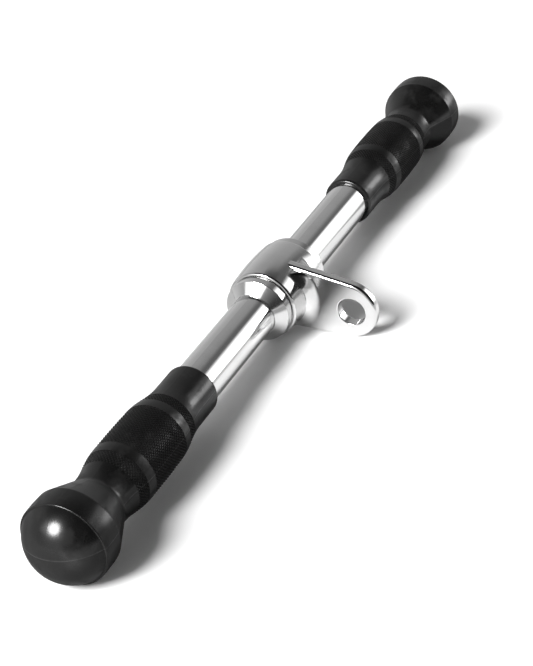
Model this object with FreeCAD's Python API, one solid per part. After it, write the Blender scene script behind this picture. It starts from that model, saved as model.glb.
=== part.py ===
import FreeCAD, Part
import math
import os

# Revolving straight bar for a cable crossover machine, in millimetres.
# Two moulded rubber grips with knob ends sit on a chrome tube. A chrome swivel
# turns on two bushes at the middle, between two collars, and its flat tab
# carries the eye that the cable's snap hook goes through.
#
# Frame: the origin is the middle of the eye, X runs along the bar and Z is up.
# The bar lies as it does on a floor: on its two knobs and on the tip of the tab.

# Running and seated fits
RUN_GAP = 0.05
SLIDE_GAP = 0.05
SEAT_GAP = 0.02
OVERRUN = 2.0

# Bar tube
TUBE_R = 12.7
TUBE_WALL = 2.6

# Grip: lengths from the inboard lip to the crown of the knob
GRIP_START = 104.6
SLEEVE_LEN = 17.4
SWELL_LEN = 30.0
BELLY_LEN = 29.0
WAIST_LEN = 24.0
NECK_LEN = 2.0
FLARE_LEN = 19.0
SKIRT_LEN = 13.0
DOME_LEN = 15.0

# Grip: radii and small rounds
SLEEVE_R = 14.9
BELLY_R = 18.5
BELLY_CROWN = 0.2
NECK_R = 15.5
SKIRT_R = 23.6
SKIRT_CROWN = 0.15
DOME_EDGE_R = 22.5
LIP_ROUND = 1.8
LIP_SHARE = 0.9
NECK_ROUND = 5.0
SKIRT_ROUND = 2.2
CREASE_ROUND = 0.6
CROWN_RUBBER = 14.0

# Grip: recessed bands that hold the diamond pattern, counted from the lip
FIRST_BAND_AT = 29.4
NARROW_BAND = 7.5
PLAIN_RING = 6.5
WIDE_BAND = 32.5
BAND_DEPTH = 0.35

# Plastic plug in each end of the tube
PLUG_DEPTH = 18.0
PLUG_WALL = 2.2
PLUG_HEAD = 2.0
PLUG_RIB = 0.6
PLUG_RIB_LEN = 2.0
PLUG_RIBS = 3

# Swivel barrel
BARREL_HALF = 19.25
BARREL_R = 21.3
BARREL_CROWN = 0.8
BARREL_ROUND = 1.4

# Flanged bushes
BUSH_WALL = 3.15
BUSH_LEN = 13.0
FLANGE_T = 1.25
FLANGE_LIP = 1.3
BUSH_CHAMFER = 0.5

# Thrust washers
WASHER_T = 0.75
WASHER_R = 17.7

# Collars
COLLAR_R = 18.8
COLLAR_BAND = 4.95
COLLAR_CONE = 4.8
COLLAR_LIP = 0.4
COLLAR_EDGE = 0.3

# Collar set screws
SCREW_R = 2.0
SCREW_LEN = 5.0
SCREW_SPOT = 0.3
SCREW_SETBACK = 2.5
SCREW_ANGLE = -55.0
SOCKET_FLATS = 2.0
SOCKET_DEPTH = 2.0

# Tab and eye
TAB_T = 6.4
TAB_ROOT_DROP = 0.9
TIP_REACH = 45.0
TIP_R = 17.1
EYE_BEYOND = 2.2
EYE_R = 8.2
EYE_ROUND = 0.7
TAB_ROUND = 1.8
TAB_ROUND_SHARE = 0.43
ROOT_BLEND = 7.4
WEB_ROUND = 2.5
WEB_ROUND_SHARE = 0.37

# Places worked out from the sizes above
GRIP_LENGTHS = [SLEEVE_LEN, SWELL_LEN, BELLY_LEN, WAIST_LEN, NECK_LEN,
                FLARE_LEN, SKIRT_LEN, DOME_LEN]
BAR_HALF = GRIP_START + sum(GRIP_LENGTHS)
GRIP_BORE_R = TUBE_R + SEAT_GAP
BORE_END = BAR_HALF - CROWN_RUBBER
TUBE_HALF = BORE_END - PLUG_HEAD - SEAT_GAP
TUBE_BORE_R = TUBE_R - TUBE_WALL
BUSH_BORE_R = TUBE_R + RUN_GAP
BUSH_R = BUSH_BORE_R + BUSH_WALL
BARREL_BORE_R = BUSH_R + SEAT_GAP
FLANGE_R = BUSH_R + FLANGE_LIP
FLANGE_AT = BARREL_HALF - FLANGE_T
WASHER_AT = BARREL_HALF + SLIDE_GAP
COLLAR_AT = WASHER_AT + WASHER_T
SCREW_AT = COLLAR_AT + SCREW_SETBACK
TAB_ROOT_R = BARREL_R - TAB_ROOT_DROP
TAB_EDGE = min(TAB_ROUND, (TAB_ROOT_R - BARREL_BORE_R) * TAB_ROUND_SHARE)
EYE_REACH = TIP_REACH + EYE_BEYOND
LYING_ANGLE = math.asin((SKIRT_R - TIP_R) / TIP_REACH)
AXIS_Y = EYE_REACH * math.cos(LYING_ANGLE)
AXIS_Z = EYE_REACH * math.sin(LYING_ANGLE)

ORIGIN = FreeCAD.Vector(0, 0, 0)
ALONG = FreeCAD.Vector(1, 0, 0)


def turned(start, steps):
    """A solid of revolution about X. Each step is (x, r) for a straight line
    or (x_mid, r_mid, x, r) for an arc, and the outline closes on its start."""
    here = FreeCAD.Vector(start[0], 0, start[1])
    first = here
    edges = []
    for step in steps:
        there = FreeCAD.Vector(step[-2], 0, step[-1])
        if len(step) == 4:
            middle = FreeCAD.Vector(step[0], 0, step[1])
            edges.append(Part.Arc(here, middle, there).toShape())
        else:
            edges.append(Part.makeLine(here, there))
        here = there
    edges.append(Part.makeLine(here, first))
    face = Part.Face(Part.Wire(edges))
    return face.revolve(ORIGIN, ALONG, 360)


def quarter(x0, r0, x1, r1, bulge_x, bulge_r):
    """The step that rounds a square corner at (bulge_x, bulge_r), from
    (x0, r0) to (x1, r1), as a quarter of a circle."""
    centre_x = x0 + x1 - bulge_x
    centre_r = r0 + r1 - bulge_r
    lean = math.cos(math.radians(45))
    return (centre_x + (bulge_x - centre_x) * lean,
            centre_r + (bulge_r - centre_r) * lean, x1, r1)


def ogee(x0, r0, x1, r1):
    """Two equal arcs that leave (x0, r0) and reach (x1, r1) level."""
    run = (x1 - x0) / 2
    rise = (r1 - r0) / 2
    radius = (run * run + rise * rise) / (2 * abs(rise))
    half = math.asin(run / radius) / 2
    dx = radius * math.sin(half)
    dr = math.copysign(radius * (1 - math.cos(half)), rise)
    return [(x0 + dx, r0 + dr, x0 + run, r0 + rise),
            (x1 - dx, r1 - dr, x1, r1)]


def soft_corner(before, corner, after, radius):
    """The line and the arc that round one corner of an outline, given the
    points before and after it."""
    a = FreeCAD.Vector(before[0], 0, before[1])
    b = FreeCAD.Vector(corner[0], 0, corner[1])
    c = FreeCAD.Vector(after[0], 0, after[1])
    to_a = (a - b).normalize()
    to_c = (c - b).normalize()
    half = to_a.getAngle(to_c) / 2
    back = radius / math.tan(half)
    inward = (to_a + to_c).normalize()
    centre = b + inward * (radius / math.sin(half))
    middle = centre - inward * radius
    start = b + to_a * back
    end = b + to_c * back
    return [(start.x, start.z), (middle.x, middle.z, end.x, end.z)]


def bored(radius, x0, x1):
    """A plain round bar on the axis, from x0 to x1."""
    return Part.makeCylinder(radius, x1 - x0, FreeCAD.Vector(x0, 0, 0), ALONG)


def mirrored(shape):
    return shape.mirror(ORIGIN, ALONG)


def grip_blank(inset):
    """The grip's outer form without its patterned bands, bored for the tube.
    The inset draws the part that the hand holds inward."""
    stations = [GRIP_START]
    for length in GRIP_LENGTHS:
        stations.append(stations[-1] + length)
    lip, sleeve, belly, waist, neck, flare, skirt, dome, crown = stations
    bore = GRIP_BORE_R
    sleeve_r = SLEEVE_R - inset
    belly_r = BELLY_R - inset
    neck_r = NECK_R - inset
    round_lip = min(LIP_ROUND, (sleeve_r - bore) * LIP_SHARE)
    skirt_end_r = SKIRT_R - SKIRT_CROWN
    steps = [(lip, sleeve_r - round_lip)]
    steps.append(quarter(lip, sleeve_r - round_lip,
                         lip + round_lip, sleeve_r, lip, sleeve_r))
    steps.append((sleeve, sleeve_r))
    steps += ogee(sleeve, sleeve_r, belly, belly_r)
    steps.append(((belly + waist) / 2, belly_r + BELLY_CROWN, waist, belly_r))
    steps += ogee(waist, belly_r, neck, neck_r)
    rim = (skirt, skirt_end_r)
    steps += soft_corner((neck, neck_r), (flare, neck_r), rim, NECK_ROUND)
    steps += soft_corner((flare, neck_r), rim, (dome, skirt_end_r), SKIRT_ROUND)
    round_start = dome - CREASE_ROUND
    steps.append(((skirt + dome) / 2, SKIRT_R, round_start, skirt_end_r))
    steps.append(quarter(round_start, skirt_end_r, dome,
                         skirt_end_r - CREASE_ROUND, dome, skirt_end_r))
    steps.append((dome, DOME_EDGE_R))
    dome_radius = (DOME_EDGE_R ** 2 + DOME_LEN ** 2) / (2 * DOME_LEN)
    turn = math.asin(DOME_EDGE_R / dome_radius) / 2
    steps.append((crown - dome_radius * (1 - math.cos(turn)),
                  dome_radius * math.sin(turn), crown, 0))
    steps.append((BORE_END, 0))
    steps.append((BORE_END, bore))
    return turned((lip, bore), steps)


def grip():
    """The moulded rubber grip at the +X end."""
    body = grip_blank(0)
    core = grip_blank(BAND_DEPTH)
    start = GRIP_START + FIRST_BAND_AT
    for length in (NARROW_BAND, WIDE_BAND, NARROW_BAND):
        slab = bored(BELLY_R + OVERRUN, start, start + length)
        body = body.cut(slab.cut(core).cut(bored(TUBE_R, start, start + length)))
        start += length + PLAIN_RING
    return body


def tube():
    """The bar tube, with a shallow spot under each set screw."""
    body = bored(TUBE_R, -TUBE_HALF, TUBE_HALF)
    body = body.cut(bored(TUBE_BORE_R, -TUBE_HALF - OVERRUN, TUBE_HALF + OVERRUN))
    for x in (SCREW_AT, -SCREW_AT):
        body = body.cut(screw_drill(x, TUBE_R - SCREW_SPOT))
    return body


def tube_plug():
    """The ribbed plastic plug at the +X end of the tube."""
    rib_r = TUBE_BORE_R - SEAT_GAP
    body_r = rib_r - PLUG_RIB
    inner_r = body_r - PLUG_WALL
    start = TUBE_HALF - PLUG_DEPTH
    head = TUBE_HALF + PLUG_HEAD
    pitch = PLUG_DEPTH / (PLUG_RIBS + 1)
    steps = [(start, body_r)]
    for i in range(PLUG_RIBS):
        at = start + pitch * (i + 1) - PLUG_RIB_LEN / 2
        steps += [(at, body_r), (at + PLUG_RIB, rib_r)]
        steps += [(at + PLUG_RIB_LEN, rib_r), (at + PLUG_RIB_LEN, body_r)]
    steps += [(TUBE_HALF, body_r), (TUBE_HALF, TUBE_R), (head, TUBE_R)]
    steps += [(head, 0), (TUBE_HALF, 0), (TUBE_HALF, inner_r)]
    return turned((start, inner_r), steps)


def barrel():
    """The crowned barrel of the swivel, without its tab."""
    end_r = BARREL_R - BARREL_CROWN
    flat = BARREL_HALF - BARREL_ROUND
    steps = [(-BARREL_HALF, end_r - BARREL_ROUND)]
    steps.append(quarter(-BARREL_HALF, end_r - BARREL_ROUND,
                         -flat, end_r, -BARREL_HALF, end_r))
    steps.append((0, BARREL_R, flat, end_r))
    steps.append(quarter(flat, end_r, BARREL_HALF,
                         end_r - BARREL_ROUND, BARREL_HALF, end_r))
    steps.append((BARREL_HALF, BARREL_BORE_R))
    return turned((-BARREL_HALF, BARREL_BORE_R), steps)


def tab_prism(inset, x0, x1):
    """The tab's outline drawn in by an inset, from x0 to x1. The outline is a
    link: a root circle on the bar's axis, a tip circle and their tangents."""
    root_r = TAB_ROOT_R - inset
    tip_r = TIP_R - inset
    lean = math.asin((root_r - tip_r) / TIP_REACH)

    def point(centre_y, radius, angle):
        return FreeCAD.Vector(x0, centre_y - radius * math.sin(angle),
                              radius * math.cos(angle))

    top_root = point(0, root_r, lean)
    top_tip = point(-TIP_REACH, tip_r, lean)
    nose = point(-TIP_REACH, tip_r, math.pi / 2)
    low_tip = point(-TIP_REACH, tip_r, math.pi - lean)
    low_root = point(0, root_r, math.pi - lean)
    back = point(0, root_r, -math.pi / 2)
    edges = [Part.makeLine(top_root, top_tip),
             Part.Arc(top_tip, nose, low_tip).toShape(),
             Part.makeLine(low_tip, low_root),
             Part.Arc(low_root, back, top_root).toShape()]
    return Part.Face(Part.Wire(edges)).extrude(FreeCAD.Vector(x1 - x0, 0, 0))


def tab():
    """The flat tab toward -Y, with its rounded outline and its eye."""
    half = TAB_T / 2
    plate = tab_prism(0, -half, half)
    outline = [e for e in plate.Edges
               if abs(abs(e.BoundBox.Center.x) - half) < SEAT_GAP]
    plate = plate.makeFillet(TAB_EDGE, outline)
    flat = BARREL_HALF - BARREL_ROUND
    crown_radius = (flat ** 2 + BARREL_CROWN ** 2) / (2 * BARREL_CROWN)
    crown_r = BARREL_R - crown_radius
    centre_x = half + ROOT_BLEND
    rise = math.sqrt((crown_radius + ROOT_BLEND) ** 2 - centre_x ** 2)
    centre_r = crown_r + rise
    tangent = math.atan2(centre_x, rise)
    reach = crown_radius * math.sin(tangent)
    base_r = crown_r + crown_radius * math.cos(tangent)
    middle = (math.radians(90) + tangent) / 2
    mid_x = centre_x - ROOT_BLEND * math.sin(middle)
    mid_r = centre_r - ROOT_BLEND * math.cos(middle)
    web = turned((-reach, BARREL_BORE_R), [
        (-reach, base_r),
        (-mid_x, mid_r, -half, centre_r),
        (half, centre_r),
        (mid_x, mid_r, reach, base_r),
        (reach, BARREL_BORE_R)])
    web = web.common(tab_prism(TAB_EDGE, -reach, reach))
    return plate.fuse(web).cut(eye_hole(half))


def eye_hole(half):
    """The tool that cuts the eye, with a rounded rim on each face."""
    flat = half - EYE_ROUND
    lean = math.cos(math.radians(45))
    mid_x = flat + EYE_ROUND * lean
    mid_r = EYE_R + EYE_ROUND * (1 - lean)
    rim_r = EYE_R + EYE_ROUND
    far = half + OVERRUN
    tool = turned((-far, 0), [
        (-far, rim_r), (-half, rim_r), (-mid_x, mid_r, -flat, EYE_R),
        (flat, EYE_R), (mid_x, mid_r, half, rim_r), (far, rim_r), (far, 0)])
    tool.translate(FreeCAD.Vector(0, -EYE_REACH, 0))
    return tool


def web_edges(body):
    """The outer edges of the flats that the tab's web has above and below."""
    beside = TAB_T / 2 + SEAT_GAP
    edges = []
    for face in body.Faces:
        if not isinstance(face.Surface, Part.Plane):
            continue
        if abs(face.normalAt(0, 0).x) > SEAT_GAP:
            continue
        edges += [e for e in face.Edges if abs(e.CenterOfMass.x) > beside
                  and not isinstance(e.Curve, Part.Line)]
    return edges


def swivel():
    """The one-piece swivel: barrel, tab and eye, bored for the bushes and
    sunk at each end for their flanges."""
    body = barrel().fuse(tab())
    web_round = min(WEB_ROUND, ROOT_BLEND * WEB_ROUND_SHARE)
    body = body.makeFillet(web_round, web_edges(body))
    through = BARREL_HALF + OVERRUN
    sunk_r = FLANGE_R + SEAT_GAP
    body = body.cut(bored(BARREL_BORE_R, -through, through))
    body = body.cut(bored(sunk_r, FLANGE_AT, through))
    body = body.cut(bored(sunk_r, -through, -FLANGE_AT))
    body = body.removeSplitter()
    body.rotate(ORIGIN, ALONG, math.degrees(LYING_ANGLE))
    return body


def bush():
    """The flanged bush in the +X end of the barrel, its flange sunk level."""
    inner = FLANGE_AT - BUSH_LEN
    steps = [(inner, BUSH_R - BUSH_CHAMFER), (inner + BUSH_CHAMFER, BUSH_R),
             (FLANGE_AT, BUSH_R), (FLANGE_AT, FLANGE_R),
             (BARREL_HALF, FLANGE_R), (BARREL_HALF, BUSH_BORE_R)]
    return turned((inner, BUSH_BORE_R), steps)


def washer():
    """The thrust washer between bush flange and collar at the +X side."""
    end = WASHER_AT + WASHER_T
    return turned((WASHER_AT, BUSH_BORE_R),
                  [(WASHER_AT, WASHER_R), (end, WASHER_R), (end, BUSH_BORE_R)])


def screw_drill(x, from_r):
    """A radial drill at a set screw's place, from a radius outward."""
    angle = math.radians(SCREW_ANGLE)
    out = FreeCAD.Vector(0, math.cos(angle), math.sin(angle))
    start = FreeCAD.Vector(x, 0, 0) + out * from_r
    return Part.makeCylinder(SCREW_R + SEAT_GAP, COLLAR_R, start, out)


def collar():
    """The collar at the +X side: a plain band, then a cone toward the grip."""
    band_end = COLLAR_AT + COLLAR_BAND
    cone_end = band_end + COLLAR_CONE
    bore = TUBE_R + SEAT_GAP
    flat_start = (COLLAR_AT + COLLAR_EDGE, COLLAR_R)
    cone_tip = (cone_end, bore + COLLAR_LIP)
    steps = [(COLLAR_AT, COLLAR_R - COLLAR_EDGE), flat_start]
    steps += soft_corner(flat_start, (band_end, COLLAR_R), cone_tip, COLLAR_EDGE)
    steps += [cone_tip, (cone_end, bore)]
    body = turned((COLLAR_AT, bore), steps)
    return body.cut(screw_drill(SCREW_AT, 0))


def set_screw():
    """The headless screw with a hexagon socket, in the collar at +X."""
    angle = math.radians(SCREW_ANGLE)
    out = FreeCAD.Vector(0, math.cos(angle), math.sin(angle))
    foot_r = TUBE_R - SCREW_SPOT + SEAT_GAP
    place = FreeCAD.Vector(SCREW_AT, 0, 0)
    body = Part.makeCylinder(SCREW_R, SCREW_LEN, place + out * foot_r, out)
    across = FreeCAD.Vector(1, 0, 0)
    beside = out.cross(across)
    corner_r = SOCKET_FLATS / 2 / math.cos(math.radians(30))
    floor = place + out * (foot_r + SCREW_LEN - SOCKET_DEPTH)
    points = []
    for i in range(7):
        turn = math.radians(60 * i)
        points.append(floor + across * (corner_r * math.cos(turn))
                      + beside * (corner_r * math.sin(turn)))
    socket = Part.Face(Part.makePolygon(points)).extrude(out * (SOCKET_DEPTH + OVERRUN))
    return body.cut(socket)


def save(name, shape):
    """Move a piece from the bar's own axis to the part's frame and keep it."""
    placed = shape.copy()
    placed.translate(FreeCAD.Vector(0, AXIS_Y, AXIS_Z))
    solids = placed.Solids
    assert len(solids) == 1 and placed.isValid(), name
    placed.exportStep("parts/" + name + ".step")
    print(name, "volume", round(placed.Volume, 1))


os.makedirs("parts", exist_ok=True)
save("bar_tube", tube())
save("swivel_body", swivel())
for side, flip in (("right", False), ("left", True)):
    for name, make in (("grip", grip), ("tube_plug", tube_plug),
                       ("bush", bush), ("thrust_washer", washer),
                       ("collar", collar), ("collar_set_screw", set_screw)):
        piece = make()
        if flip:
            piece = mirrored(piece)
        save(side + "_" + name, piece)
print("overall length", 2 * BAR_HALF, "lying angle", math.degrees(LYING_ANGLE))
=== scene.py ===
# %% [markdown]
# # A revolving straight bar for a cable machine
# The real object is a chrome tube with two moulded rubber grips. A polished
# steel swivel with a flat tab turns on the middle of the tube, between two
# chrome collars, and a snap hook goes through the eye in its tab.
#
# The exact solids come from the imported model. This script dresses them: it adds
# the diamond pattern of the grips as real geometry, gives every piece a
# material, and builds the floor, the studio light and the camera.

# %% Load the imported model
import math

import bpy
import bmesh
from mathutils import Matrix, Vector


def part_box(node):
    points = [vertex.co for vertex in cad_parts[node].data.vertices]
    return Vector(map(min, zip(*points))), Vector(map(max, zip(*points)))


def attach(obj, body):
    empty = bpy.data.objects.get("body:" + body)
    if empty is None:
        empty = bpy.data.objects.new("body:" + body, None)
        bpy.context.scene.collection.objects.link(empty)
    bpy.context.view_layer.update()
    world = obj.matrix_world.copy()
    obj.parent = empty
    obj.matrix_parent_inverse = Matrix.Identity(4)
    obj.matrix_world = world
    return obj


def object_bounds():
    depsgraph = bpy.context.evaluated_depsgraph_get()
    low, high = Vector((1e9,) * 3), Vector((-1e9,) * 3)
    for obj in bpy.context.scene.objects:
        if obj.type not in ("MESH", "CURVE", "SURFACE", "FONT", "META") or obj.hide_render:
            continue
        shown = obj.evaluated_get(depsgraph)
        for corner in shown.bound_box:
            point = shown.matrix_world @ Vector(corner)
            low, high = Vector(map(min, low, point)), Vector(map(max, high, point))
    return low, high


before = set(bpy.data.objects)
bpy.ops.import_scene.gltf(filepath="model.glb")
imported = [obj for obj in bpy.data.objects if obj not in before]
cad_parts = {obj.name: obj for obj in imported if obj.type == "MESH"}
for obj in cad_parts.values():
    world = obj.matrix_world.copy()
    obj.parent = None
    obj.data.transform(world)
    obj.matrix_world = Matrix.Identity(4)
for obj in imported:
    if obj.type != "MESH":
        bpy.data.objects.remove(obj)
CAD_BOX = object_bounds()
MM = 0.001
DEGREES = math.degrees(1)
print("pieces:", len(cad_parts), "box:", [tuple(round(v, 4) for v in c) for c in CAD_BOX])

# %% [markdown]
# ## Where the bar lies
# The bar rests on its two knobs and on the tip of the tab. Its axis runs along
# X, so the middle of the tube's own box gives the axis, and the lowest point of
# all the solids gives the floor. Reading these from the solids keeps the scene
# right if a size of the solids changes.

# %% The axis and the floor
tube_low, tube_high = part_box("bar_tube")
AXIS_Y = (tube_low.y + tube_high.y) / 2
AXIS_Z = (tube_low.z + tube_high.z) / 2
FLOOR_Z = CAD_BOX[0].z
print("axis at y %.2f mm, z %.2f mm" % (AXIS_Y / MM, AXIS_Z / MM), "floor at %.2f mm" % (FLOOR_Z / MM))


def add(name, data):
    """Puts a mesh, a lamp or a camera into the scene as a new object."""
    made = bpy.data.objects.new(name, data)
    bpy.context.scene.collection.objects.link(made)
    return made


# %% [markdown]
# ## The diamond pattern of the grips
# Each real grip has three bands of small raised diamonds with smooth rings
# between them. The mould cuts two sets of grooves that wind around the grip in
# opposite directions, both at about 45 degrees, and a flat-topped diamond is
# left between them. A bump map would show the pattern but not its edge against
# the light, so the diamonds are modelled: one lattice of cells for each band,
# laid in the shallow recess that the solid grip has for it. Each diamond rises
# steeply to a shoulder and then gently to its small flat top. The tops end
# flush with the smooth rings, and the groove bottoms dip just under the recess
# floor.

# %% The grip's profile along the hand
SLEEVE_END, SLEEVE_RADIUS = 122.0, 14.9
BELLY_START, BELLY_END, BELLY_RADIUS, BELLY_CROWN = 152.0, 181.0, 18.5, 0.2
NECK_START, NECK_RADIUS = 205.0, 15.5


def swell(x, x0, r0, x1, r1):
    """The radius at x on two equal arcs that leave x0 and reach x1 level."""
    run, rise = (x1 - x0) / 2, (r1 - r0) / 2
    radius = (run * run + rise * rise) / (2 * abs(rise))
    side = math.copysign(1, rise)
    if x < x0 + run:
        return r0 + side * (radius - math.sqrt(radius ** 2 - (x - x0) ** 2))
    return r1 - side * (radius - math.sqrt(radius ** 2 - (x1 - x) ** 2))


def grip_radius(x):
    """The radius of the smooth rings, in mm, at a distance x from the eye's plane."""
    if x < BELLY_START:
        return swell(x, SLEEVE_END, SLEEVE_RADIUS, BELLY_START, BELLY_RADIUS)
    if x > BELLY_END:
        return swell(x, BELLY_END, BELLY_RADIUS, NECK_START, NECK_RADIUS)
    across = (2 * x - BELLY_START - BELLY_END) / (BELLY_END - BELLY_START)
    return BELLY_RADIUS + BELLY_CROWN * (1 - across ** 2)


print("ring radii:", [round(grip_radius(x), 2) for x in (134, 145, 166.5, 184, 194.5)])

# %% One band of diamonds
DIAMONDS_AROUND = 58
DIAMOND_STEP = 2.0
GROOVE_DEPTH = 0.38
EDGE_GAP = 0.06
SHOULDER, SHOULDER_DROP, FLAT_TOP = 0.60, 0.09, 0.36


def diamond_band(name, start, end):
    """A ring of raised diamonds from x = start to x = end, in mm."""
    rows = math.ceil((end - start) / DIAMOND_STEP) + 1
    middle = (start + end) / 2
    mesh = bmesh.new()
    corners = {}

    def place(around, along, drop):
        x = middle + along * DIAMOND_STEP
        r = grip_radius(x) - drop
        turn = 2 * math.pi * around / DIAMONDS_AROUND
        return Vector((x, r * math.cos(turn), r * math.sin(turn))) * MM

    def corner(half_around, half_along):
        key = (half_around % (2 * DIAMONDS_AROUND), half_along)
        if key not in corners:
            corners[key] = mesh.verts.new(place(key[0] / 2, half_along / 2, GROOVE_DEPTH))
        return corners[key]

    for row in range(-rows, rows + 1):
        for i in range(DIAMONDS_AROUND):
            a = 2 * i + row % 2
            points = [(a + 1, row), (a, row + 1), (a - 1, row), (a, row - 1)]
            rings = [[corner(*p) for p in points]]
            for share, drop in ((SHOULDER, SHOULDER_DROP), (FLAT_TOP, 0.0)):
                rings.append([mesh.verts.new(place((a + (p[0] - a) * share) / 2,
                                                   (row + (p[1] - row) * share) / 2, drop))
                              for p in points])
            for outer, inner in zip(rings, rings[1:]):
                for k in range(4):
                    n = (k + 1) % 4
                    mesh.faces.new((outer[k], outer[n], inner[n], inner[k]))
            mesh.faces.new(rings[-1])
    for x, out in ((start + EDGE_GAP, -1), (end - EDGE_GAP, 1)):
        bmesh.ops.bisect_plane(mesh, geom=mesh.verts[:] + mesh.edges[:] + mesh.faces[:],
                               plane_co=(x * MM, 0, 0), plane_no=(out, 0, 0), clear_outer=True)
    bmesh.ops.recalc_face_normals(mesh, faces=mesh.faces[:])
    data = bpy.data.meshes.new(name)
    mesh.to_mesh(data)
    mesh.free()
    return data


# %% The six bands on the two grips
BANDS = {"inner": (134.0, 141.5), "middle": (148.0, 180.5), "outer": (187.0, 194.5)}
diamond_pieces = []
for band, (start, end) in BANDS.items():
    for side, sign in (("right", 1), ("left", -1)):
        data = diamond_band(side + "_grip_diamonds_" + band, start, end)
        data.transform(Matrix.Translation((0, AXIS_Y, AXIS_Z)) @ Matrix.Diagonal((sign, 1, 1, 1)))
        if sign < 0:
            data.flip_normals()
        data.shade_flat()
        piece = add(data.name, data)
        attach(piece, "bar")
        diamond_pieces.append(piece)
print("diamond bands:", len(diamond_pieces), "faces:", sum(len(p.data.polygons) for p in diamond_pieces))

# %% [markdown]
# ## Writing a finish as arithmetic
# A Blender material is a graph of nodes. Long node code hides what it works
# out, so one small class stands for a socket: + - * / on it add Math nodes, and
# every other node comes from its `node` method.


# %% A socket that can be used in sums
class Wire:
    """A socket of a node tree. Arithmetic on it adds Math nodes."""

    def __init__(self, tree, socket=None):
        self.tree, self.socket = tree, socket

    def node(self, kind, settings=None, inputs=None, out=0):
        """Adds a node, sets it up, feeds its sockets and gives back one output."""
        made = self.tree.nodes.new(kind)
        for name, value in (settings or {}).items():
            if name == "stops":
                lay_stops(made.color_ramp, value)
            else:
                setattr(made, name, value)
        for name, value in (inputs or {}).items():
            if isinstance(value, Wire):
                self.tree.links.new(value.socket, made.inputs[name])
            else:
                made.inputs[name].default_value = value
        return Wire(self.tree, made.outputs[out] if made.outputs else None)

    def math(self, operation, *values):
        return self.node("ShaderNodeMath", {"operation": operation}, dict(enumerate(values)))

    def __add__(self, other):
        return self.math("ADD", self, other)

    def __sub__(self, other):
        return self.math("SUBTRACT", self, other)

    def __rsub__(self, other):
        return self.math("SUBTRACT", other, self)

    def __mul__(self, other):
        return self.math("MULTIPLY", self, other)

    def __truediv__(self, other):
        return self.math("DIVIDE", self, other)

    def __pow__(self, other):
        return self.math("POWER", self, other)

    def __abs__(self):
        return self.math("ABSOLUTE", self)

    __radd__ = __add__
    __rmul__ = __mul__

    def between(self, low, high):
        """0 below low, 1 above high, and a soft ramp between them."""
        return self.node("ShaderNodeMapRange", {"interpolation_type": "SMOOTHSTEP"},
                         {"Value": self, "From Min": low, "From Max": high})

    def within(self, rise, fall):
        """1 between two soft edges: it rises over one range and falls over the other."""
        return self.between(*rise) * (1 - self.between(*fall))

    def axes(self):
        """The X, Y and Z of a vector, each as a wire of its own."""
        split = self.tree.nodes.new("ShaderNodeSeparateXYZ")
        self.tree.links.new(self.socket, split.inputs[0])
        return [Wire(self.tree, axis) for axis in split.outputs]


def lay_stops(ramp, stops):
    """Fills a colour ramp with stops, each a place and a value of grey."""
    while len(ramp.elements) > 1:
        ramp.elements.remove(ramp.elements[-1])
    for i, (place, value) in enumerate(stops):
        stop = ramp.elements[0] if i == 0 else ramp.elements.new(place)
        stop.position = place
        stop.color = (value, value, value, 1)


# %% Helpers that all the finishes share
def new_finish(name):
    """An empty material: its wire, its main shader and the point on the object."""
    material = bpy.data.materials.new(name)
    material.use_nodes = True
    tree = material.node_tree
    tree.nodes.clear()
    wire = Wire(tree)
    shader = tree.nodes.new("ShaderNodeBsdfPrincipled")
    output = tree.nodes.new("ShaderNodeOutputMaterial")
    tree.links.new(shader.outputs[0], output.inputs["Surface"])
    point = wire.node("ShaderNodeTexCoord", out="Object")
    return material, wire, shader, point


def feed(shader, **values):
    """Sets or links sockets of the main shader; an underscore stands for a space."""
    for name, value in values.items():
        socket = shader.inputs[name.replace("_", " ")]
        if isinstance(value, Wire):
            value.tree.links.new(value.socket, socket)
        else:
            socket.default_value = value


def noise(wire, point, scale, detail=3.0, roughness=0.5):
    """Soft random greys. A higher scale makes smaller spots: 100 gives about 1 cm."""
    return wire.node("ShaderNodeTexNoise", None, {"Vector": point, "Scale": scale, "Detail": detail,
                                                  "Roughness": roughness})


def streaks(wire, point, stretch, scale):
    """Noise drawn out into fine lines: each axis is squeezed by its own share."""
    drawn = wire.node("ShaderNodeMapping", None, {"Vector": point, "Scale": stretch})
    return noise(wire, drawn, scale, 2.0)


def blend(wire, mask, first, second):
    """Goes from the first colour to the second as the mask goes from 0 to 1."""
    return wire.node("ShaderNodeMix", {"data_type": "RGBA"}, {0: mask, 6: first, 7: second}, out=2)


def bump(wire, height):
    """The direction of the surface when a height in metres is laid on it."""
    return wire.node("ShaderNodeBump", None, {"Strength": 1.0, "Distance": 1.0, "Height": height})


def grey(value, warm=0.0):
    """A grey colour, a little warmer or cooler by a share."""
    return (value * (1 + warm), value, value * (1 - warm), 1)


def dress(material, *nodes):
    """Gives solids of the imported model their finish."""
    for name in nodes:
        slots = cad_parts[name].material_slots
        if not slots:
            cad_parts[name].data.materials.append(material)
        for holder in slots:
            holder.material = material


def both(name):
    """The left and the right piece of a pair."""
    return "left_" + name, "right_" + name


# %% [markdown]
# ## Chrome
# The tube, the swivel and the collars are plated steel. Chrome has almost no
# colour of its own: it shows the room, a little dimmed and softened. What makes
# it look real is the small unevenness: faint smears from handling that dull the
# mirror in patches, fine polishing marks along the tube, and a slow waviness on
# the swivel, which was forged and polished by hand before it was plated.


# %% The chrome finishes
BRIGHT_CHROME, SMEARED_CHROME = grey(0.66), grey(0.60, 0.004)
ALONG_THE_BAR = (0.04, 1.0, 1.0)
LINE_DEPTH = 0.00001


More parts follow.
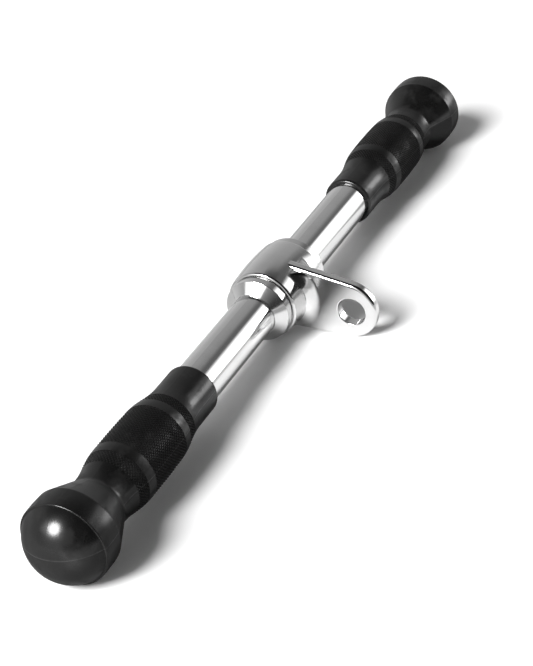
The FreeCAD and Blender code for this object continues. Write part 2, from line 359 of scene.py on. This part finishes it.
def chrome(name, dull, smear, wave, wave_scale, lines):
    """Plated steel with smears, a slow wave and polishing lines along X."""
    material, wire, shader, point = new_finish(name)
    smears = noise(wire, point, 42.0, 4.0, 0.62).between(0.42, 0.72)
    specks = noise(wire, point, 900.0, 2.0).between(0.66, 0.74)
    polish = streaks(wire, point, ALONG_THE_BAR, 1500.0)
    height = noise(wire, point, wave_scale, 1.0) * wave + polish * (lines * LINE_DEPTH)
    feed(shader, Metallic=1.0,
         Base_Color=blend(wire, smears * 0.5 + specks * 0.5, BRIGHT_CHROME, SMEARED_CHROME),
         Roughness=dull + smears * smear + polish * lines + specks * 0.05,
         Normal=bump(wire, height))
    return material


tube_chrome = chrome("tube_chrome", 0.07, 0.05, 0.0, 30.0, 0.03)
collar_chrome = chrome("collar_chrome", 0.09, 0.06, 0.00001, 240.0, 0.02)
swivel_chrome = chrome("swivel_chrome", 0.08, 0.06, 0.00004, 55.0, 0.0)
dress(tube_chrome, "bar_tube")
dress(collar_chrome, *both("collar"))
dress(swivel_chrome, "swivel_body")

# %% [markdown]
# ## Moulded rubber
# The grips are black rubber: nearly matte underneath, with a thin smoother skin
# that gives a small bright highlight on the knob, a very fine grain, and duller
# patches where hands have been. The skin is a thin soft coat over a dull base.
# Its refraction is set high and its weight low, because the real grips shine
# hardly more at a flat angle than head-on. A faint line runs over the knobs
# where the two halves of the mould met: it has a small raised ridge, and it is
# also painted a lighter grey, a painted highlight along that ridge. It lies level,
# a little above the bar's axis, so the height above the axis is all that is needed to draw it.


# %% The rubber finish
# The parting line's grey is a painted highlight along its ridge; the ridge itself is a real bump.
PARTING_RISE, PARTING_EDGE, PARTING_RIDGE = 2.8 * MM, (0.1 * MM, 0.4 * MM), 0.1 * MM
GRAIN_DEPTH = 0.012 * MM
BLACK_RUBBER, DUSTY_RUBBER, PARTING_HIGHLIGHT_GREY = grey(0.002), grey(0.017, 0.01), grey(0.024)
SKIN = 0.19


def rubber(name, worn):
    """Black rubber with dusty and handled patches; worn makes it duller all over."""
    material, wire, shader, point = new_finish(name)
    level = point.axes()[2]
    parting_ridge_and_highlight = 1 - abs(level - AXIS_Z - PARTING_RISE).between(*PARTING_EDGE)
    cloud = noise(wire, point, 60.0, 4.0, 0.6)
    grain = noise(wire, point, 2600.0, 2.0, 0.6)
    dust = noise(wire, point, 260.0, 5.0, 0.7).between(0.55, 0.8)
    handled = noise(wire, point, 95.0, 3.0, 0.55).between(0.50, 0.66)
    black = blend(wire, cloud * 0.4 + handled * 0.5 + dust * 0.2, BLACK_RUBBER, DUSTY_RUBBER)
    # Base colour: the parting line is painted lighter, a painted highlight on its ridge.
    feed(shader, Specular_IOR_Level=0.06, Coat_IOR=2.4, Coat_Roughness=0.20,
         Base_Color=blend(wire, parting_ridge_and_highlight, black, PARTING_HIGHLIGHT_GREY),
         Roughness=0.30 + cloud * 0.06 + grain * 0.04 + handled * 0.14 + dust * 0.08 + worn * cloud,
         Coat_Weight=SKIN - handled * 0.12 - dust * 0.03 - worn,
         Normal=bump(wire, grain * GRAIN_DEPTH + parting_ridge_and_highlight * PARTING_RIDGE))
    return material


smooth_rubber = rubber("smooth_rubber", 0.0)
held_rubber = rubber("held_rubber", 0.10)
dress(smooth_rubber, *both("grip"))
for piece in diamond_pieces:
    piece.data.materials.append(held_rubber)

# %% [markdown]
# ## The pieces inside
# Bronze bushes, steel thrust washers, blackened set screws and nylon plugs are
# hidden or nearly so, but the swivel may be taken apart in the finished model,
# so each has the finish of its own metal or plastic: the bronze is warm and
# turned, the washers are ground, the screws are oiled black, the plugs are a
# dull moulded grey-black.


# %% Bronze, steel and nylon
AROUND_THE_BAR = (1.0, 0.03, 0.03)
TURNING_DEPTH = 0.004 * MM
BRIGHT_BRONZE, BROWN_BRONZE = (0.58, 0.37, 0.17, 1), (0.42, 0.25, 0.11, 1)


def turned(name, light, dark, dull, scale, metallic=1.0):
    """A turned or moulded piece, with clouds of two colours and fine rings."""
    material, wire, shader, point = new_finish(name)
    cloud = noise(wire, point, scale, 4.0, 0.6)
    rings = streaks(wire, point, AROUND_THE_BAR, 6000.0)
    feed(shader, Metallic=metallic, Base_Color=blend(wire, cloud, light, dark),
         Roughness=dull + cloud * 0.12 + rings * 0.06,
         Normal=bump(wire, (rings + cloud) * TURNING_DEPTH))
    return material


bronze = turned("bush_bronze", BRIGHT_BRONZE, BROWN_BRONZE, 0.28, 300.0)
ground_steel = turned("washer_steel", grey(0.56), grey(0.44, 0.01), 0.26, 400.0)
black_steel = turned("screw_steel", grey(0.060), grey(0.035, -0.02), 0.34, 900.0)
nylon = turned("plug_plastic", grey(0.045), grey(0.030), 0.46, 250.0, 0.0)
dress(bronze, *both("bush"))
dress(ground_steel, *both("thrust_washer"))
dress(black_steel, *both("collar_set_screw"))
dress(nylon, *both("tube_plug"))
print("finishes:", [m.name for m in bpy.data.materials if m.users])

# %% [markdown]
# ## The white floor
# The bar lies on a plain white surface that the light brings up to white, with
# soft shadows. The floor is a real pale surface that takes the shadows, so the
# whiteness comes from its colour and not from extra light on the object.
#
# The chrome and the rubber mirror the ground too. For mirrored rays only, the floor
# carries painted shade: it stays white in front of the tube, is painted grey behind
# it and further off, and is painted darkest along the grips. One strip off the far
# end is a painted reflection that glows for mirrored rays only. Far from the bar the
# camera sees the floor fade into the white backdrop, so that it has no edge from any side.

# %% The floor
FLOOR_HALF = 1.6
# Painted shade: mirrored rays see the floor painted darker outside this band, and darker still along the
# grips.
MIRROR_WHITE_BAND = (-0.09, -0.05), (0.018, 0.045)
PAINTED_SHADE_OFF_BAND, PAINTED_SHADE_AT_GRIPS = 0.45, 0.66
NEAR_GRIP = (-0.29, -0.25), (-0.10, -0.07)
FAR_GRIP = (0.15, 0.18), (0.30, 0.36)
# Painted reflection: a strip of floor off the far end glows for mirrored rays only. The same glow colour
# also fades the far floor into the white backdrop for the camera.
PAINTED_GLOW_SIDES, PAINTED_GLOW_START = ((-51.0, -47.0), (-27.0, -23.0)), (0.18, 0.26)
FADE_TO_WHITE = (0.45, 1.0)
PAINTED_GLOW_AND_BACKDROP_WHITE = grey(0.9)
corners = [(x * FLOOR_HALF, y * FLOOR_HALF, FLOOR_Z) for x, y in ((-1, -1), (1, -1), (1, 1), (-1, 1))]
floor_mesh = bpy.data.meshes.new("floor")
floor_mesh.from_pydata(corners, [], [(0, 1, 2, 3)])
floor = add("floor", floor_mesh)
paper, wire, shader, point = new_finish("white_surface")
paper_white = blend(wire, noise(wire, point, 15.0), grey(0.95), grey(0.93))
floor_x, floor_y, _ = point.axes()
from_middle = wire.math("SQRT", floor_x * floor_x + floor_y * floor_y)
bearing = wire.math("ARCTAN2", floor_y - AXIS_Y, floor_x) * DEGREES
# Painted shade for mirrored rays only: off the band and along the grips, whichever is darker.
off_band_painted_shade = 1 - floor_y.within(*MIRROR_WHITE_BAND)
grip_painted_shade = floor_x.within(*NEAR_GRIP) + floor_x.within(*FAR_GRIP)
painted_mirror_shade = wire.math("MAXIMUM", off_band_painted_shade * PAINTED_SHADE_OFF_BAND, grip_painted_shade * PAINTED_SHADE_AT_GRIPS)
# The painted glow strip, which only mirrored rays see.
painted_glow_strip = bearing.within(*PAINTED_GLOW_SIDES) * from_middle.between(*PAINTED_GLOW_START)
mirrored = wire.node("ShaderNodeLightPath", out="Is Glossy Ray")
faded = wire.node("ShaderNodeLightPath", out="Is Camera Ray") * from_middle.between(*FADE_TO_WHITE)
feed(shader, Roughness=0.7, Specular_IOR_Level=0.2, Emission_Strength=1.0,
     Base_Color=blend(wire, mirrored * painted_mirror_shade, paper_white, grey(0.0)),
     Emission_Color=blend(wire, mirrored * painted_glow_strip + faded, grey(0.0), PAINTED_GLOW_AND_BACKDROP_WHITE))
floor_mesh.materials.append(paper)
print("floor %.1f m across, at %.2f mm" % (2 * FLOOR_HALF, FLOOR_Z / MM))

# %% [markdown]
# ## The studio around it
# Chrome is a map of its room, so the room can be read back from it. The wall is
# brightest low down, fades toward the ceiling and is dark above about 46
# degrees. The tab's side of the room is nearly black, which gives the swivel
# its deep tones. A tall white panel off the far end of the bar gives the tube
# its white stripe, a small low lamp inside that panel gives the rubber its
# sheen, and a white screen behind the key lamp gives the collar its white
# patch. The wall behind the camera is bright again and lights the round ends of
# the knobs. The world is that room: one scale of greys by height, one by
# direction around the object, and the panel, lamp and screen laid over them.
# Rays from the camera get plain white, so the backdrop stays white from every
# side.

# %% The room as the chrome sees it
BY_HEIGHT = ((0, 0.66), (15, 0.57), (30, 0.45), (44, 0.37), (49, 0.10), (60, 0.04), (90, 0.03))
AROUND = ((-180, 1.7), (-165, 0.75), (-140, 0.08), (-115, 0.04), (-60, 0.05), (-45, 0.28), (-17, 0.42),
          (-2, 0.95), (10, 1.0), (60, 1.05), (95, 1.3), (130, 0.9), (150, 1.3), (180, 1.7))
BRIGHTEST = 2
PANEL_SIDES, PANEL_LIGHT = ((-52.0, -46.0), (-28.0, -22.0)), 1.8
PANEL_ENDS = (-60.0, -20.0), (26.0, 35.0)
LAMP_AZIMUTH, LAMP_HEIGHT, LAMP_EDGE, LAMP_LIGHT = -38.0, 8.0, (4.0, 12.0), 7.0
SCREEN_AZIMUTH, SCREEN_SIDE, SCREEN_LIGHT = 157.0, (30.0, 34.0), 1.9
SCREEN_ENDS = (22.0, 26.0), (43.0, 47.0)
world = bpy.data.worlds.new("studio")
bpy.context.scene.world = world
world.use_nodes = True
world.node_tree.nodes.clear()
air = Wire(world.node_tree)
ahead, aside, up = air.node("ShaderNodeTexCoord", out="Generated").axes()
height = air.math("ARCSINE", up) * DEGREES
turn = air.math("ARCTAN2", aside, ahead) * DEGREES
by_height = air.node("ShaderNodeValToRGB", {"stops": [(angle / 90, value) for angle, value in BY_HEIGHT]},
                     {"Fac": height / 90})
around = air.node("ShaderNodeValToRGB",
                  {"stops": [(angle / 360 + 0.5, value / BRIGHTEST) for angle, value in AROUND]},
                  {"Fac": turn / 360 + 0.5})
wall = by_height * around * BRIGHTEST
panel = turn.within(*PANEL_SIDES) * height.within(*PANEL_ENDS)
from_screen = (turn - SCREEN_AZIMUTH) / DEGREES
beside = abs(air.math("ARCTAN2", air.math("SINE", from_screen), air.math("COSINE", from_screen)) * DEGREES)
screen = (1 - beside.between(*SCREEN_SIDE)) * height.within(*SCREEN_ENDS)
from_lamp = air.math("SQRT", (turn - LAMP_AZIMUTH) ** 2.0 + (height - LAMP_HEIGHT) ** 2.0)
lamp = 1 - from_lamp.between(*LAMP_EDGE)
room = wall * (1 - panel) * (1 - screen) + panel * PANEL_LIGHT + screen * SCREEN_LIGHT + lamp * LAMP_LIGHT
camera_ray = air.node("ShaderNodeLightPath", out="Is Camera Ray")
seen = air.node("ShaderNodeBackground", None, {"Color": grey(1.0), "Strength": room})
white = air.node("ShaderNodeBackground", None, {"Color": grey(1.0), "Strength": 1.0})
mixed = air.node("ShaderNodeMixShader", None, {0: camera_ray, 1: seen, 2: white})
air.node("ShaderNodeOutputWorld", None, {"Surface": mixed})
print("nodes in the room:", len(world.node_tree.nodes))

# %% [markdown]
# ## The key light
# The highlight on the near knob and the way the shadows fall give the main
# lamp: about 40 degrees up, behind the near knob and a little to the left, and
# 25 degrees across, which makes shadows with wide soft edges. One area lamp
# does that.

# %% The key light
KEY_AZIMUTH, KEY_HEIGHT = math.radians(161.0), math.radians(41.0)
KEY_DISTANCE, KEY_ACROSS, KEY_POWER = 6.0, math.radians(25.0), 620.0
key_data = bpy.data.lights.new("key", "AREA")
key_data.shape = "DISK"
key_data.size = 2 * KEY_DISTANCE * math.tan(KEY_ACROSS / 2)
key_data.energy = KEY_POWER
key = add("key", key_data)
toward = Vector((math.cos(KEY_HEIGHT) * math.cos(KEY_AZIMUTH),
                 math.cos(KEY_HEIGHT) * math.sin(KEY_AZIMUTH),
                 math.sin(KEY_HEIGHT)))
key.location = toward * KEY_DISTANCE
key.rotation_euler = toward.to_track_quat("Z", "Y").to_euler()
print("key lamp at", tuple(round(v, 2) for v in key.location))

# %% [markdown]
# ## The camera
# The camera stands off the near end of the bar, about 31 degrees above the
# floor, with a long lens. Its place was solved from the circles that the
# photograph shows: the lips, the rims of the knobs and the ends of the hub.

# %% The camera
RIGHT = Vector((0.4180, -0.9007, -0.1186))
UP = Vector((0.5179, 0.1290, 0.8457))
PLACE = Vector((-0.77157, -0.37211, 0.51354))
SENSOR, PICTURE_WIDTH, FOCAL_PIXELS = 36.0, 533, 1796.65
turned_to = Matrix((RIGHT, UP, RIGHT.cross(UP))).transposed().to_quaternion()
camera_data = bpy.data.cameras.new("camera")
camera_data.sensor_fit = "HORIZONTAL"
camera_data.sensor_width = SENSOR
camera_data.lens = SENSOR * FOCAL_PIXELS / PICTURE_WIDTH
camera = add("camera", camera_data)
camera.matrix_world = Matrix.LocRotScale(PLACE, turned_to, None)
bpy.context.scene.camera = camera
bpy.context.scene.view_settings.view_transform = "Standard"
print("lens %.1f mm" % camera_data.lens)
